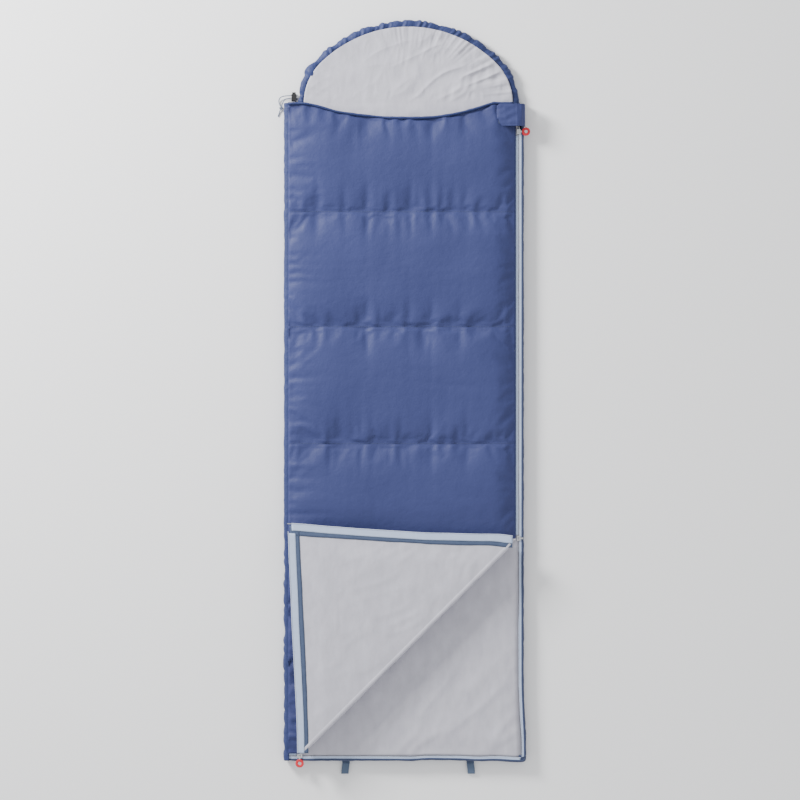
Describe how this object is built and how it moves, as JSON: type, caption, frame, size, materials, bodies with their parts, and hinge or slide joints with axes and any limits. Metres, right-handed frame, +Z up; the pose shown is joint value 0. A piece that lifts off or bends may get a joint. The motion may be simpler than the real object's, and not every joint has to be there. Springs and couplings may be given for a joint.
{
  "type": "rectangular sleeping bag",
  "caption": "Quilted rectangular sleeping bag lying flat, with a drawcord hood, side and foot zips and a foot corner folded back to show the lining.",
  "frame": {"origin": "on the floor under the middle of the bag's width, 1.1 m from its foot edge", "axes": "+X across the bag to the zip side, +Y from foot to hood, +Z up from the floor"},
  "size_m": [0.7544, 2.2506, 0.0891],
  "materials": {
    "shell_blue": "satin woven polyester, dark blue",
    "lining_grey": "soft brushed polyester, warm grey",
    "fill_white": "hollow-fibre wadding",
    "binding_blue": "slate-blue woven binding",
    "zip_tape": "pale lilac-blue woven tape",
    "zip_coil": "pale lilac-blue nylon coil",
    "thread_blue": "dark blue sewing thread",
    "slider_metal": "nickel-plated zinc",
    "ring_red": "red moulded soft plastic",
    "cord_blue": "grey-blue braided cord",
    "lock_black": "black moulded plastic",
    "spring_steel": "spring steel wire",
    "hook_loop": "hook and loop, dark blue"
  },
  "bodies": {
    "base": {"bar_tacks_left": "thread_blue", "bar_tacks_right": "thread_blue", "base_facing": "binding_blue", "base_fill": "fill_white", "base_foot_binding": "binding_blue", "base_foot_zip_coil": "zip_coil", "base_foot_zip_tape": "zip_tape", "base_lining": "lining_grey", "base_shell": "shell_blue", "base_side_binding": "binding_blue", "base_side_zip_coil": "zip_coil", "base_side_zip_tape": "zip_tape", "base_zip_top_stop": "slider_metal", "hang_loop_left": "binding_blue", "hang_loop_right": "binding_blue", "left_side_gusset": "shell_blue"},
    "closure_tab": {"closure_tab": "shell_blue", "tab_hook_patch": "hook_loop"},
    "hood": {"cord_eyelets": "slider_metal", "cord_knot": "cord_blue", "cord_strand_lower": "cord_blue", "cord_strand_upper": "cord_blue", "cord_tail": "cord_blue", "hood_drawcord": "cord_blue", "hood_fill": "fill_white", "hood_lining": "lining_grey", "hood_rim_channel": "shell_blue", "hood_shell": "shell_blue"},
    "cord_lock": {"cord_lock_body": "lock_black", "cord_lock_spring": "spring_steel"},
    "plunger": {"cord_lock_plunger": "lock_black"},
    "corner": {"corner_facing": "binding_blue", "corner_fill": "fill_white", "corner_foot_zip_coil": "zip_coil", "corner_foot_zip_tape": "zip_tape", "corner_lining": "lining_grey", "corner_shell": "shell_blue", "corner_side_zip_coil": "zip_coil", "corner_side_zip_tape": "zip_tape", "corner_zip_pin": "slider_metal"},
    "cover": {"cover_facing": "binding_blue", "cover_fill": "fill_white", "cover_foot_zip_coil": "zip_coil", "cover_foot_zip_tape": "zip_tape", "cover_lining": "lining_grey", "cover_loop_patch": "hook_loop", "cover_quilting_thread": "thread_blue", "cover_shell": "shell_blue", "cover_side_zip_coil": "zip_coil", "cover_side_zip_tape": "zip_tape", "neck_piping": "shell_blue"},
    "foot_slider": {"foot_slider_body": "slider_metal"},
    "foot_pull": {"foot_slider_pull": "slider_metal", "foot_slider_ring": "ring_red"},
    "lower_slider": {"lower_slider_body": "slider_metal"},
    "lower_pull": {"lower_slider_pull": "slider_metal"},
    "upper_slider": {"upper_slider_body": "slider_metal"},
    "upper_pull": {"upper_slider_pull": "slider_metal", "upper_slider_ring": "ring_red"}
  },
  "joints": [
    {"name": "cover_open", "type": "hinge", "parent": "base", "child": "cover", "pos_m": [-0.352, 0, 0.029], "axis": [0, -1, 0], "range_deg": [0, 150]},
    {"name": "corner_fold", "type": "hinge", "parent": "cover", "child": "corner", "pos_m": [0, -0.768, 0.0585], "axis": [0.7071, 0.7071, 0], "range_deg": [0, 180]},
    {"name": "hood_raise", "type": "hinge", "parent": "base", "child": "hood", "pos_m": [0, 0.86, 0.028], "axis": [1, 0, 0], "range_deg": [0, 80]},
    {"name": "tab_open", "type": "hinge", "parent": "base", "child": "closure_tab", "pos_m": [0.3597, 0, 0.031], "axis": [0, 1, 0], "range_deg": [0, 150]},
    {"name": "upper_slider_run", "type": "slide", "parent": "base", "child": "upper_slider", "axis": [0, 1, 0], "range_m": [-0.6, 0]},
    {"name": "lower_slider_run", "type": "slide", "parent": "base", "child": "lower_slider", "axis": [0, 1, 0], "range_m": [-0.6, 0.59]},
    {"name": "foot_slider_run", "type": "slide", "parent": "base", "child": "foot_slider", "axis": [1, 0, 0], "range_m": [0, 0.615]},
    {"name": "upper_pull_lift", "type": "hinge", "parent": "upper_slider", "child": "upper_pull", "pos_m": [0.342, 0.776, 0.03445], "axis": [0, -1, 0], "range_deg": [0, 90]},
    {"name": "lower_pull_lift", "type": "hinge", "parent": "lower_slider", "child": "lower_pull", "pos_m": [0.342, -0.436, 0.03445], "axis": [0, -1, 0], "range_deg": [0, 90]},
    {"name": "foot_pull_lift", "type": "hinge", "parent": "foot_slider", "child": "foot_pull", "pos_m": [-0.311, -1.085, 0.03445], "axis": [-1, 0, 0], "range_deg": [0, 90]},
    {"name": "cord_lock_slide", "type": "slide", "parent": "hood", "child": "cord_lock", "axis": [-1, 0, 0], "range_m": [0, 0.009]},
    {"name": "plunger_press", "type": "slide", "parent": "cord_lock", "child": "plunger", "axis": [0, -1, 0], "range_m": [0, 0.0045], "stiffness_N_per_m": 400, "springref_m": -0.001, "deforming": ["cord_lock_spring"]}
  ]
}
